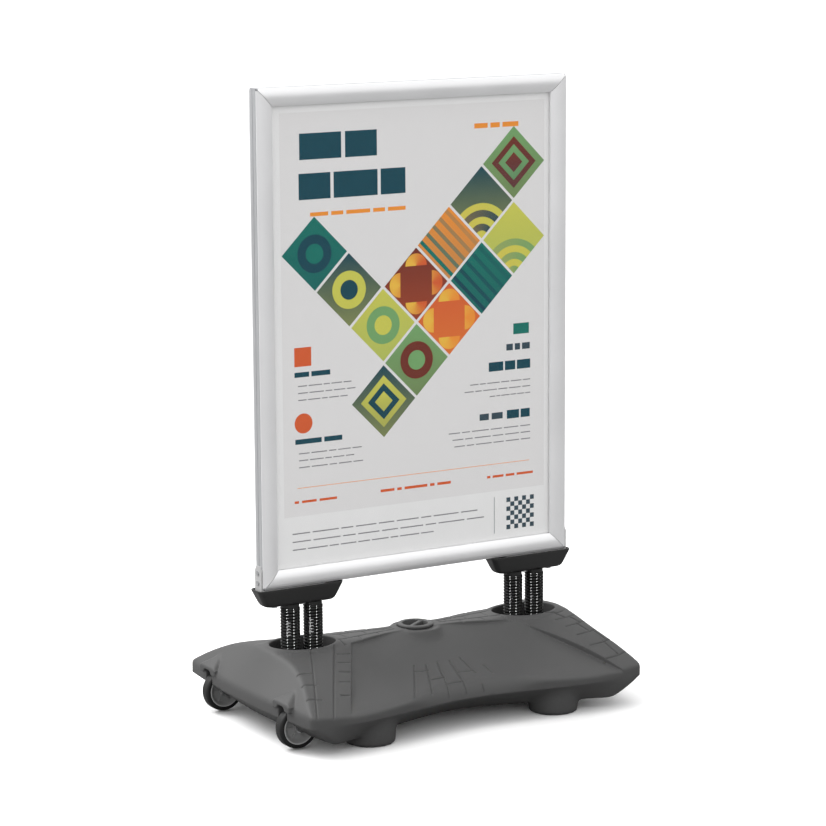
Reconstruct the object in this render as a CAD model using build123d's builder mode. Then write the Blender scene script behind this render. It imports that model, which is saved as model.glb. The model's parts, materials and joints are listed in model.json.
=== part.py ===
from build123d import *
import os

# Spring-mounted pavement sign. A double-sided snap frame for A1 posters stands on two brackets
# and four coil springs, over a hollow tank base that is filled with water through a screw cap.
# +Z is up and Z = 0 is the ground. X runs along the sign's width, the front faces -Y, the wheels
# are at the -X end, and the origin is on the ground under the sign's centre. Millimetres.

# ---- driving dimensions ------------------------------------------------------------------------

poster_width = 594.0
poster_height = 841.0
poster_hidden = 10.0  # strip of each poster edge that lies under the snap profiles
poster_thick = 0.3
cover_thick = 0.8
sheet_gap = 0.1
panel_thick = 6.0

profile_width = 32.0
mitre_gap = 0.45  # taken off each mitred end, so that one profile can open past its neighbours
frame_bottom = 255.6
frame_width = poster_width - 2 * poster_hidden + 2 * profile_width
frame_height = poster_height - 2 * poster_hidden + 2 * profile_width
frame_top = frame_bottom + frame_height
frame_middle = frame_bottom + frame_height / 2

spring_outer_radius = 16.5
spring_wire_radius = 2.45
spring_pitch = 5.6
spring_middle_x = 235.4  # middle of each pair of springs
spring_spacing = 46.4
spring_bottom = 79.0
spring_top = 217.0

wall = 5.0  # thickness of the moulded tank
base_bottom = 20.0
band_bottom = 57.0
band_top = 78.0
base_top = 148.0

wheel_x = -324.4
wheel_y = 141.0
wheel_z = 40.0
wheel_radius = 37.5
wheel_width = 22.0
axle_radius = 4.0

clearance = 0.05  # radial gap of turning and close fits
bolt_gap = 0.3  # radial gap of bolts in plain holes
cut_margin = 1.0  # how far a cutting shape runs past what it cuts

sides = {"left": -1, "right": 1}
faces = {"front": -1, "back": 1}


def save(builder, label):
    """Labels a finished piece and writes it as its own STEP file."""
    builder.part.label = label
    export_step(builder.part, f"parts/{label}.step")


os.makedirs("parts", exist_ok=True)

# ---- tank base ---------------------------------------------------------------------------------

# Plan outline at each level of the tank: height, reach of the -X and +X ends on the centre
# line, corner, and the waist's apex, where the long sides are drawn in towards the middle.
level_bottom = dict(z=base_bottom, end_left=309, end_right=303, corner=(290, 221), waist=129)
level_band = dict(z=band_bottom, end_left=359, end_right=351, corner=(344, 233), waist=199)
level_shoulder = dict(z=144, end_left=304, end_right=303, corner=(296, 65), waist=36)
level_top = dict(z=base_top, end_left=297, end_right=296, corner=(289, 57), waist=28)
band_height = band_top - band_bottom
foot_draft = 2.0
end_round = 160.0
corner_round = 14.0
waist_round = 260.0

pocket_half_length = 63.0
pocket_half_width = 47.0
pocket_floor = 74.0
foot_x = 192.0
foot_y = 168.0
foot_radius = 40.0
foot_wall = 4.0
crease_share = 0.68  # how far the inner crease drops, and the floor draws in, per wall thickness
floor_share = 0.75
neck_radius = 25.0 + clearance
neck_bottom = 124.0
boss_radius = 46.0
boss_top = base_top - 1.0
cap_flange_radius = 32.5
well_half_width = 13.5
well_radius = 42.0
axle_hole_length = 42.0
axle_boss_length = 44.0
axle_boss_radius = 9.0
anchor_bolt_y = 19.0
insert_radius = 6.0
insert_length = 14.0


def level(z, end_left, end_right, corner, waist, rise=0.0, inset=0.0):
    """The tank's plan outline as a face at height z + rise, drawn in by inset."""
    corner_x = corner[0] - inset
    corner_y = corner[1] - inset
    points = [
        (-(end_left - inset), 0),
        (-corner_x, -corner_y),
        (0, -(waist - inset)),
        (corner_x, -corner_y),
        (end_right - inset, 0),
        (corner_x, corner_y),
        (0, waist - inset),
        (-corner_x, corner_y),
    ]
    rounds = [end_round, corner_round, waist_round, corner_round] * 2
    with BuildSketch(Plane.XY.offset(z + rise)) as plan:
        with BuildLine():
            FilletPolyline(*points, radius=rounds, close=True)
        make_face()
    return plan.sketch


def disc(places, z, radius):
    """Round faces at height z, centred at each of the places."""
    with BuildSketch(Plane.XY.offset(z)) as plan:
        with Locations(*places):
            Circle(radius)
    return plan.sketch


def bar_along_y(x, y, z, radius, length, mode=Mode.ADD):
    """A round bar along Y, centred at (x, y, z)."""
    with BuildSketch(Plane(origin=(x, y, z), x_dir=(1, 0, 0), z_dir=(0, 1, 0))) as end:
        Circle(radius)
    extrude(end.sketch, amount=length / 2, both=True, mode=mode)


def wheel_well(y, margin, mode):
    """The slot a wheel turns in, open to the tank's end and underside, made larger by margin."""
    radius = well_radius + margin
    reach = 2 * well_radius
    with BuildSketch(Plane.XZ.offset(-y)) as side:
        with Locations((wheel_x, wheel_z)):
            Circle(radius)
            Rectangle(radius, reach, align=(Align.MIN, Align.MAX))
        with Locations((wheel_x, wheel_z + radius)):
            Rectangle(reach, radius + reach, align=(Align.MAX, Align.MAX))
    extrude(side.sketch, amount=well_half_width + margin, both=True, mode=mode)


def pocket(x, margin, floor, mode):
    """The elliptical pocket that a pair of springs stands in."""
    with BuildSketch(Plane.XY.offset(floor)) as plan:
        with Locations((x, 0)):
            Ellipse(pocket_half_length + margin, pocket_half_width + margin)
    extrude(plan.sketch, amount=base_top - floor, mode=mode)


wheel_places = [-wheel_y, wheel_y]
foot_places = [(x, y) for x in (-foot_x, foot_x) for y in (-foot_y, foot_y)]
pocket_places = [-spring_middle_x, spring_middle_x]
anchor_places = [(x, y) for x in pocket_places for y in (-anchor_bolt_y, anchor_bolt_y)]

# The water space follows the outside at one wall thickness, and leaves room for the walls of
# the pockets, wells, filler neck and bosses.
with BuildPart() as water_space:
    crease_drop = crease_share * wall
    floor_face = level(**level_bottom, rise=wall, inset=floor_share * wall)
    band_face = level(**level_band, inset=wall)
    crease_face = level(**level_band, rise=band_height - crease_drop, inset=wall)
    loft([floor_face, band_face], ruled=True)
    extrude(band_face, amount=band_height - crease_drop)
    ceiling_face = level(**level_shoulder, rise=-wall, inset=0.5 * wall)
    loft([crease_face, ceiling_face], ruled=True)
    foot_space = disc(foot_places, foot_wall, foot_radius - foot_wall - foot_draft)
    extrude(foot_space, amount=base_bottom + wall)
    for place in pocket_places:
        pocket(place, wall, pocket_floor - wall, Mode.SUBTRACT)
    insert_bosses = disc(anchor_places, pocket_floor - insert_length - wall, insert_radius + wall)
    extrude(insert_bosses, amount=insert_length + wall, mode=Mode.SUBTRACT)
    neck_boss = disc([(0, 0)], neck_bottom, neck_radius + wall)
    extrude(neck_boss, amount=base_top - neck_bottom, mode=Mode.SUBTRACT)
    for place in wheel_places:
        wheel_well(place, wall, Mode.SUBTRACT)
        boss_space = axle_boss_length + 2 * wall
        bar_along_y(wheel_x, place, wheel_z, axle_boss_radius, boss_space, Mode.SUBTRACT)

with BuildPart() as base_tank:
    band_face = level(**level_band)
    loft([level(**level_bottom), band_face], ruled=True)
    extrude(band_face, amount=band_height)
    shoulder_face = level(**level_shoulder)
    loft([level(**level_band, rise=band_height), shoulder_face], ruled=True)
    loft([shoulder_face, level(**level_top)], ruled=True)
    extrude(disc([(0, 0)], neck_bottom, boss_radius), amount=boss_top - neck_bottom)
    for place in foot_places:
        sole = disc([place], 0, foot_radius - foot_draft)
        root = disc([place], base_bottom + wall, foot_radius)
        loft([sole, root], ruled=True)
    for place in wheel_places:
        bar_along_y(wheel_x, place, wheel_z, axle_boss_radius, axle_boss_length)
    add(water_space.part, mode=Mode.SUBTRACT)
    for place in pocket_places:
        pocket(place, 0.0, pocket_floor, Mode.SUBTRACT)
    cap_seat = disc([(0, 0)], boss_top, cap_flange_radius + cut_margin)
    extrude(cap_seat, amount=wall, mode=Mode.SUBTRACT)
    neck_hole = disc([(0, 0)], neck_bottom, neck_radius)
    extrude(neck_hole, amount=base_top - neck_bottom, mode=Mode.SUBTRACT)
    insert_holes = disc(anchor_places, pocket_floor - insert_length, insert_radius + clearance)
    extrude(insert_holes, amount=insert_length, mode=Mode.SUBTRACT)
    for place in wheel_places:
        wheel_well(place, 0.0, Mode.SUBTRACT)
        hole_radius = axle_radius + clearance
        bar_along_y(wheel_x, place, wheel_z, hole_radius, axle_hole_length, Mode.SUBTRACT)
save(base_tank, "base_tank")

# ---- spring anchors, springs and plugs ---------------------------------------------------------

anchor_thick = 5.0
anchor_half_length = 50.0
anchor_half_width = 28.0
plug_radius = spring_outer_radius - 2 * spring_wire_radius - 4 * clearance
plug_length = 26.0
plug_flange = 6.0
plug_round = 2.0
anchor_bolt_radius = 4.0
plug_bolt_radius = 5.0
anchor_bolt_length = 17.0
anchor_head_width = 13.0
anchor_head_thick = 5.5
spring_end_gap = 0.1
spring_places = [-spring_spacing / 2, spring_spacing / 2]


def hex_bolt(x, y, head_z, head_width, head_thick, radius, length, turned=1):
    """A hex bolt along Z with its head's underside at head_z; turned -1 points the shank up."""
    with BuildSketch(Plane.XY.offset(head_z)) as head:
        with Locations((x, y)):
            RegularPolygon(head_width / 2, 6, major_radius=False)
    extrude(head.sketch, amount=turned * head_thick)
    extrude(disc([(x, y)], head_z, radius), amount=-turned * length)


for side, sign in sides.items():
    middle = sign * spring_middle_x
    plug_places = [(middle + step, 0) for step in spring_places]
    bolt_places = [(middle, -anchor_bolt_y), (middle, anchor_bolt_y)]

    with BuildPart() as anchor:
        with BuildSketch(Plane.XY.offset(pocket_floor)):
            with Locations((middle, 0)):
                Ellipse(anchor_half_length, anchor_half_width)
        extrude(amount=anchor_thick)
        extrude(disc(plug_places, spring_bottom, plug_radius), amount=plug_length)
        bolt_holes = disc(bolt_places, pocket_floor, anchor_bolt_radius + bolt_gap)
        extrude(bolt_holes, amount=anchor_thick, mode=Mode.SUBTRACT)
    save(anchor, f"spring_anchor_{side}")

    with BuildPart() as inserts:
        extrude(disc(bolt_places, pocket_floor - insert_length, insert_radius), amount=insert_length)
        threads = disc(bolt_places, pocket_floor - insert_length, anchor_bolt_radius + clearance)
        extrude(threads, amount=insert_length, mode=Mode.SUBTRACT)
    save(inserts, f"threaded_inserts_{side}")

    with BuildPart() as anchor_bolts:
        for x, y in bolt_places:
            hex_bolt(
                x,
                y,
                spring_bottom,
                anchor_head_width,
                anchor_head_thick,
                anchor_bolt_radius,
                anchor_bolt_length,
            )
    save(anchor_bolts, f"anchor_bolts_{side}")

    for step, place in zip(spring_places, ("left", "right")):
        start_z = spring_bottom + spring_wire_radius + spring_end_gap
        wire_height = spring_top - spring_wire_radius - spring_end_gap - start_z
        coil_radius = spring_outer_radius - spring_wire_radius
        with BuildPart() as spring:
            with BuildLine() as coil:
                Helix(spring_pitch, wire_height, coil_radius, center=(middle + step, 0, start_z))
            with BuildSketch(Plane(origin=coil.line @ 0, z_dir=coil.line % 0)):
                Circle(spring_wire_radius)
            sweep(path=coil.line, is_frenet=True)
        save(spring, f"spring_{side}_{place}")

    with BuildPart() as plugs:
        extrude(disc(plug_places, spring_top, spring_outer_radius), amount=plug_flange)
        extrude(disc(plug_places, spring_top, plug_radius), amount=-plug_length)
        fillet(edges().group_by(Axis.Z)[0], radius=plug_round)
        plug_threads = disc(plug_places, spring_top - plug_length, plug_bolt_radius + clearance)
        extrude(plug_threads, amount=plug_length + plug_flange, mode=Mode.SUBTRACT)
    save(plugs, f"spring_plugs_{side}")

# ---- brackets ----------------------------------------------------------------------------------

bracket_bottom = spring_top + plug_flange
bracket_top = frame_bottom - 0.4
bracket_middle_x = 243.5
bracket_length = 161.0
bracket_width = 39.0
bracket_sole_length = 132.0
bracket_sole_width = 28.0
bracket_floor = bracket_bottom + 5.0
bracket_round = 9.0
bracket_sole_round = 2.5
bracket_wall = 3.0
bracket_rim_length = 7.0  # how much thicker the walls get towards the rim, at the ends
bracket_rim_width = 4.0
hollow_round = 4.0
recess_round = 1.0
strap_thick = 4.0  # steel strap that lies on the bracket's floor
strap_inset = 6.0
strap_width = 18.0
strap_round = 3.0
foot_plate_z = bracket_top - 3.2  # underside of the corner plate's foot
foot_plate_thick = 3.0
foot_plate_width = 24.0
foot_plate_inner_x = 192.0
foot_plate_round = 1.0
recess_gap = 0.5
plate_gap = 0.1
plug_bolt_length = 38.0
plug_head_width = 17.0
plug_head_thick = 6.4
spacer_radius = 6.5
frame_bolt_radius = 3.0
frame_bolt_length = 49.0
frame_head_width = 10.0
frame_head_thick = 4.0
frame_bolt_places = [235.4, 290.0]
corner_plate_top = 298.0
corner_plate_slope = 8.0
corner_plate_round = 2.0
corner_screw_z = [268.0, 286.0]
corner_screw_radius = 2.0
corner_screw_length = 14.0
corner_screw_head = 2.0


def rounded_rectangle(x, z, length, width, radius):
    """A rectangle with round corners at height z, centred at x."""
    with BuildSketch(Plane.XY.offset(z)) as plan:
        with Locations((x, 0)):
            RectangleRounded(length, width, radius)
    return plan.sketch


for side, sign in sides.items():
    middle = sign * bracket_middle_x
    plug_places = [(sign * spring_middle_x + step, 0) for step in spring_places]
    bolt_places = [(sign * x, 0) for x in frame_bolt_places]
    frame_side = sign * frame_width / 2

    with BuildPart() as bracket:
        sole_face = rounded_rectangle(
            middle, bracket_bottom, bracket_sole_length, bracket_sole_width, bracket_round
        )
        rim_face = rounded_rectangle(
            middle, bracket_top, bracket_length, bracket_width, bracket_round
        )
        loft([sole_face, rim_face], ruled=True)
        fillet(edges().group_by(Axis.Z)[0], radius=bracket_sole_round)
        hollow_bottom = rounded_rectangle(
            middle,
            bracket_floor,
            bracket_sole_length - 2 * bracket_wall,
            bracket_sole_width - 2 * bracket_wall,
            hollow_round,
        )
        hollow_top = rounded_rectangle(
            middle,
            foot_plate_z,
            bracket_length - 2 * bracket_rim_length,
            bracket_width - 2 * bracket_rim_width,
            hollow_round,
        )
        loft([hollow_bottom, hollow_top], ruled=True, mode=Mode.SUBTRACT)
        recess = rounded_rectangle(
            middle,
            foot_plate_z,
            bracket_length - bracket_wall,
            foot_plate_width + 2 * recess_gap,
            recess_round,
        )
        extrude(recess, amount=bracket_top - foot_plate_z, mode=Mode.SUBTRACT)
        plug_holes = disc(plug_places, bracket_bottom, plug_bolt_radius + bolt_gap)
        extrude(plug_holes, amount=bracket_floor - bracket_bottom, mode=Mode.SUBTRACT)
        bolt_holes = disc(bolt_places, bracket_bottom, frame_bolt_radius + bolt_gap)
        extrude(bolt_holes, amount=bracket_floor - bracket_bottom, mode=Mode.SUBTRACT)
    save(bracket, f"bracket_{side}")

    with BuildPart() as strap:
        strap_length = bracket_sole_length - 2 * strap_inset
        strap_face = rounded_rectangle(
            middle, bracket_floor, strap_length, strap_width, strap_round
        )
        extrude(strap_face, amount=strap_thick)
        strap_holes = disc(plug_places, bracket_floor, plug_bolt_radius + bolt_gap)
        extrude(strap_holes, amount=strap_thick, mode=Mode.SUBTRACT)
        bolt_holes = disc(bolt_places, bracket_floor, frame_bolt_radius + bolt_gap)
        extrude(bolt_holes, amount=strap_thick, mode=Mode.SUBTRACT)
    save(strap, f"bracket_strap_{side}")

    with BuildPart() as plug_bolts:
        for x, y in plug_places:
            hex_bolt(
                x,
                y,
                bracket_floor + strap_thick,
                plug_head_width,
                plug_head_thick,
                plug_bolt_radius,
                plug_bolt_length,
            )
    save(plug_bolts, f"plug_bolts_{side}")

    with BuildPart() as spacers:
        spacer_length = foot_plate_z - bracket_floor - strap_thick
        spacer_face = disc(bolt_places, bracket_floor + strap_thick, spacer_radius)
        extrude(spacer_face, amount=spacer_length)
        spacer_holes = disc(
            bolt_places, bracket_floor + strap_thick, frame_bolt_radius + bolt_gap
        )
        extrude(spacer_holes, amount=spacer_length, mode=Mode.SUBTRACT)
    save(spacers, f"bracket_spacers_{side}")

    with BuildPart() as frame_bolts:
        for x, y in bolt_places:
            hex_bolt(
                x,
                y,
                bracket_bottom,
                frame_head_width,
                frame_head_thick,
                frame_bolt_radius,
                frame_bolt_length,
                turned=-1,
            )
    save(frame_bolts, f"frame_bolts_{side}")

    with BuildPart() as corner_plate:
        upright_x = frame_side + sign * (plate_gap + foot_plate_thick / 2)
        rounds = [0] + 4 * [corner_plate_round] + [0]
        with BuildSketch(Plane.YZ.offset(upright_x)):
            with BuildLine():
                FilletPolyline(
                    (-foot_plate_width / 2, foot_plate_z),
                    (-foot_plate_width / 2, corner_plate_top - corner_plate_slope),
                    (-foot_plate_width / 4, corner_plate_top),
                    (foot_plate_width / 4, corner_plate_top),
                    (foot_plate_width / 2, corner_plate_top - corner_plate_slope),
                    (foot_plate_width / 2, foot_plate_z),
                    (-foot_plate_width / 2, foot_plate_z),
                    radius=rounds,
                    close=True,
                )
            make_face()
        extrude(amount=foot_plate_thick / 2, both=True)
        foot_inner_x = sign * foot_plate_inner_x
        foot_face = rounded_rectangle(
            (foot_inner_x + upright_x) / 2,
            foot_plate_z,
            abs(upright_x - foot_inner_x),
            foot_plate_width,
            foot_plate_round,
        )
        extrude(foot_face, amount=foot_plate_thick)
        foot_holes = disc(bolt_places, foot_plate_z, frame_bolt_radius + bolt_gap)
        extrude(foot_holes, amount=foot_plate_thick, mode=Mode.SUBTRACT)
        with BuildSketch(Plane.YZ.offset(frame_side)):
            with Locations(*[(0, z) for z in corner_screw_z]):
                Circle(corner_screw_radius + bolt_gap)
        extrude(amount=sign * 2 * foot_plate_thick, mode=Mode.SUBTRACT)
    save(corner_plate, f"corner_plate_{side}")

    with BuildPart() as corner_screws:
        head_plane = Plane.YZ.offset(frame_side + sign * (plate_gap + foot_plate_thick))
        with BuildSketch(head_plane):
            with Locations(*[(0, z) for z in corner_screw_z]):
                Circle(2 * corner_screw_radius)
        extrude(amount=sign * corner_screw_head)
        with BuildSketch(head_plane):
            with Locations(*[(0, z) for z in corner_screw_z]):
                Circle(corner_screw_radius)
        extrude(amount=-sign * corner_screw_length)
    save(corner_screws, f"corner_screws_{side}")

# ---- snap frame --------------------------------------------------------------------------------

# Each side of the frame is drawn in its own section plane: local x runs inwards from the outer
# edge, local y runs from front to back, and the origin is the middle of the outer edge.
frame_sides = {
    "top": dict(middle=(0, 0, frame_top), inward=(0, 0, -1), length=frame_width),
    "bottom": dict(middle=(0, 0, frame_bottom), inward=(0, 0, 1), length=frame_width),
    "left": dict(middle=(-frame_width / 2, 0, frame_middle), inward=(1, 0, 0), length=frame_height),
    "right": dict(middle=(frame_width / 2, 0, frame_middle), inward=(-1, 0, 0), length=frame_height),
}
core_depth = 7.0  # half-depth of the box that carries the corner keys
core_inner = 20.0
core_wall = 1.5
skin = 2.0  # outer wall of the core
skin_depth = 10.0
hinge_inset = 1.8
hinge_depth = 12.2
hinge_radius = 1.8
bead_notch = 3.7  # the bead's ends are cut square, so that it turns clear of the next profile's bead
slot_inner = 27.0
slot_wall = 1.1
slot_depth = panel_thick / 2 + 0.1
hinge_neck = 2.4  # thickness of the arms that carry the hinge sockets
side_groove_width = 2.4
side_groove_depth = 0.6
snap_wall = 1.35
snap_edge = (0.5, 13.4)  # points of the snap profile, inwards and outwards from the panel
snap_crown = (14.0, 16.2)
snap_crown_inside = (14.0, 14.8)
snap_inner_depth = 10.4
snap_inner_depth_inside = 9.6
lip_depth = 5.8  # where the snap profile's lip stops, just clear of the cover
key_play = 0.15
key_long_leg = 100.0
key_short_leg = 70.0


def section_plane(place):
    """The plane that a frame side's section is drawn in."""
    along = Vector(*place["inward"]).cross(Vector(0, 1, 0))
    return Plane(origin=place["middle"], x_dir=place["inward"], z_dir=along)


def mitre(place, notch=0.0):
    """Cuts both ends of the active frame side at 45 degrees, and square over the outer notch."""
    face_plane = Plane(origin=place["middle"], x_dir=place["inward"], z_dir=(0, 1, 0))
    half = place["length"] / 2 - mitre_gap
    reach = profile_width + cut_margin
    with BuildSketch(face_plane) as plan:
        with BuildLine():
            Polyline(
                (-cut_margin, notch - half),
                (-cut_margin, half - notch),
                (notch, half - notch),
                (reach, half - reach),
                (reach, reach - half),
                (notch, notch - half),
                close=True,
            )
        make_face()
    extrude(plan.sketch, amount=profile_width, both=True, mode=Mode.INTERSECT)


for name, place in frame_sides.items():
    with BuildPart() as core:
        with BuildSketch(section_plane(place)):
            Rectangle(skin, 2 * skin_depth, align=(Align.MIN, Align.CENTER))
            with Locations((hinge_inset, 0)):
                Rectangle(hinge_neck, 2 * hinge_depth - hinge_radius - snap_wall / 2)
            Rectangle(core_inner, 2 * core_depth, align=(Align.MIN, Align.CENTER))
            with Locations((skin + core_wall, 0)):
                Rectangle(
                    core_inner - skin - 2 * core_wall,
                    2 * (core_depth - core_wall),
                    align=(Align.MIN, Align.CENTER),
                    mode=Mode.SUBTRACT,
                )
            with Locations((core_inner - core_wall, 0)):
                Rectangle(
                    slot_inner - core_inner + core_wall,
                    2 * (slot_depth + slot_wall),
                    align=(Align.MIN, Align.CENTER),
                )
            with Locations((core_inner, 0)):
                Rectangle(
                    slot_inner - core_inner,
                    2 * slot_depth,
                    align=(Align.MIN, Align.CENTER),
                    mode=Mode.SUBTRACT,
                )
            with Locations((hinge_inset, -hinge_depth), (hinge_inset, hinge_depth)):
                Circle(hinge_radius + clearance, mode=Mode.SUBTRACT)
            Rectangle(2 * side_groove_depth, side_groove_width, mode=Mode.SUBTRACT)
        extrude(amount=place["length"] / 2, both=True)
        mitre(place)
        if name == "bottom":
            bolt_places = [(sign * x, 0) for sign in (-1, 1) for x in frame_bolt_places]
            bolt_holes = disc(bolt_places, frame_bottom, frame_bolt_radius + bolt_gap)
            extrude(bolt_holes, amount=2 * skin, mode=Mode.SUBTRACT)
        if name in sides:
            screw_plane = Plane.YZ.offset(place["middle"][0])
            with BuildSketch(screw_plane):
                with Locations(*[(0, z) for z in corner_screw_z]):
                    Circle(corner_screw_radius + clearance)
            extrude(amount=-sides[name] * 2 * skin, mode=Mode.SUBTRACT)
    save(core, f"frame_core_{name}")

    for face, facing in faces.items():
        with BuildPart() as snap:
            with BuildSketch(section_plane(place)):
                outer_start = (snap_edge[0], facing * snap_edge[1])
                outer_crown = (snap_crown[0], facing * snap_crown[1])
                outer_end = (profile_width, facing * snap_inner_depth)
                lip_end = (profile_width, facing * lip_depth)
                lip_inside = (profile_width - snap_wall, facing * lip_depth)
                inner_end = (profile_width - snap_wall, facing * snap_inner_depth_inside)
                inner_crown = (snap_crown_inside[0], facing * snap_crown_inside[1])
                inner_start = (hinge_inset + hinge_neck / 2, facing * hinge_depth)
                with BuildLine():
                    Line(inner_start, outer_start)
                    ThreePointArc(outer_start, outer_crown, outer_end)
                    Polyline(outer_end, lip_end, lip_inside, inner_end)
                    ThreePointArc(inner_end, inner_crown, inner_start)
                make_face()
                with Locations((hinge_inset, facing * hinge_depth)):
                    Circle(hinge_radius)
            extrude(amount=place["length"] / 2, both=True)
            mitre(place, notch=bead_notch)
        save(snap, f"snap_{face}_{name}")

with BuildPart() as corner_keys:
    key_width = core_inner - skin - 2 * core_wall - 2 * key_play
    key_outer = skin + core_wall + key_play
    for x_sign in (-1, 1):
        for z_sign in (-1, 1):
            corner_x = x_sign * (frame_width / 2 - key_outer)
            corner_z = frame_middle + z_sign * (frame_height / 2 - key_outer)
            with BuildSketch(Plane.XZ):
                with BuildLine():
                    Polyline(
                        (corner_x, corner_z),
                        (corner_x - x_sign * key_long_leg, corner_z),
                        (corner_x - x_sign * key_long_leg, corner_z - z_sign * key_width),
                        (corner_x - x_sign * key_width, corner_z - z_sign * key_width),
                        (corner_x - x_sign * key_width, corner_z - z_sign * key_short_leg),
                        (corner_x, corner_z - z_sign * key_short_leg),
                        close=True,
                    )
                make_face()
            extrude(amount=core_depth - core_wall - key_play, both=True)
    bolt_places = [(sign * x, 0) for sign in (-1, 1) for x in frame_bolt_places]
    key_threads = disc(bolt_places, frame_bottom, frame_bolt_radius + clearance)
    extrude(key_threads, amount=core_inner, mode=Mode.SUBTRACT)
    for sign in (-1, 1):
        with BuildSketch(Plane.YZ.offset(sign * frame_width / 2)):
            with Locations(*[(0, z) for z in corner_screw_z]):
                Circle(corner_screw_radius + clearance)
        extrude(amount=-sign * core_inner, mode=Mode.SUBTRACT)
save(corner_keys, "corner_keys")

leaf_length = 25.0
leaf_spots = {
    "top": [-0.3, 0.3],
    "bottom": [-0.3, 0.3],
    "left": [-0.35, 0.0, 0.35],
    "right": [-0.35, 0.0, 0.35],
}
# The folded strip's outline, inwards and outwards from the panel: a foot that lies on the core
# and a tongue that leans out towards the snap profile.
leaf_outline = [
    (17.0, 7.1),
    (6.0, 7.1),
    (5.6, 7.7),
    (12.6, 13.9),
    (13.1, 13.4),
    (6.9, 7.7),
    (17.0, 7.7),
]
for face, facing in faces.items():
    with BuildPart() as leaf_springs:
        for name, place in frame_sides.items():
            for spot in leaf_spots[name]:
                leaf_plane = section_plane(place).offset(spot * place["length"])
                with BuildSketch(leaf_plane):
                    with BuildLine():
                        Polyline(*[(x, facing * y) for x, y in leaf_outline], close=True)
                    make_face()
                extrude(amount=leaf_length / 2, both=True)
    save(leaf_springs, f"leaf_springs_{face}")

# ---- backing panel, posters and covers ---------------------------------------------------------


def sheet(label, width, height, thick, depth):
    """A flat sheet that fills the frame, with its middle plane at y = depth."""
    with BuildPart() as flat:
        with BuildSketch(Plane.XZ.offset(-depth)):
            with Locations((0, frame_middle)):
                Rectangle(width, height)
        extrude(amount=thick / 2, both=True)
    save(flat, label)


panel_inset = core_inner + 1
panel_width = frame_width - 2 * panel_inset
panel_height = frame_height - 2 * panel_inset
poster_depth = slot_depth + slot_wall + sheet_gap + poster_thick / 2
cover_depth = poster_depth + poster_thick / 2 + sheet_gap + cover_thick / 2
sheet("backing_panel", panel_width, panel_height, panel_thick, 0)
for face, facing in faces.items():
    sheet(f"poster_{face}", poster_width, poster_height, poster_thick, facing * poster_depth)
    sheet(f"cover_{face}", poster_width, poster_height, cover_thick, facing * cover_depth)

# ---- filler cap --------------------------------------------------------------------------------

seal_thick = 2.0
seal_radius = 31.5
cap_flange_z = boss_top + seal_thick
cap_flange_thick = 4.0
cap_top = cap_flange_z + cap_flange_thick
plug_outer_radius = neck_radius - clearance
dish_radius = 23.0
dish_floor = cap_top - 13.0
dish_wall = 3.0
cap_round = 1.5
grip_drop = 2.0
grip_width = 7.0
grip_angle = 35.0

with BuildPart() as cap_seal:
    extrude(disc([(0, 0)], boss_top, seal_radius), amount=seal_thick)
    extrude(disc([(0, 0)], boss_top, neck_radius), amount=seal_thick, mode=Mode.SUBTRACT)
save(cap_seal, "cap_seal")

with BuildPart() as filler_cap:
    extrude(disc([(0, 0)], cap_flange_z, cap_flange_radius), amount=cap_flange_thick)
    fillet(edges().group_by(Axis.Z)[-1], radius=cap_round)
    cap_plug = disc([(0, 0)], neck_bottom + wall, plug_outer_radius)
    extrude(cap_plug, amount=cap_flange_z - neck_bottom - wall)
    extrude(disc([(0, 0)], dish_floor, dish_radius), amount=cap_top - dish_floor, mode=Mode.SUBTRACT)
    grip_plane = Plane.XY.offset(dish_floor).rotated((0, 0, grip_angle))
    with BuildSketch(grip_plane):
        Rectangle(2 * dish_radius + cut_margin, grip_width)
    extrude(amount=cap_top - dish_floor - grip_drop)
    underside = disc([(0, 0)], neck_bottom + wall, plug_outer_radius - dish_wall)
    underside_depth = dish_floor - dish_wall - neck_bottom - wall
    extrude(underside, amount=underside_depth, mode=Mode.SUBTRACT)
save(filler_cap, "filler_cap")

# ---- wheels ------------------------------------------------------------------------------------

rim_radius = 27.0
rim_edge = 29.7
rim_half = wheel_width / 2 - 1
hub_radius = 9.0
web_half = 2.0
rim_inner = 24.0
tyre_round = 4.0
tyre_seat = 1.6  # how far the tyre's foot stays inside the rim's flanges
flange_thick = 1.5
washer_radius = 8.0
washer_thick = 1.5
axle_play = 1.0


def wheel_plane(y):
    """The half-plane a wheel part is revolved in: local x is the radius, local y runs along Y."""
    return Plane(origin=(wheel_x, y, wheel_z), x_dir=(1, 0, 0), z_dir=(0, 0, 1))


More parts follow.
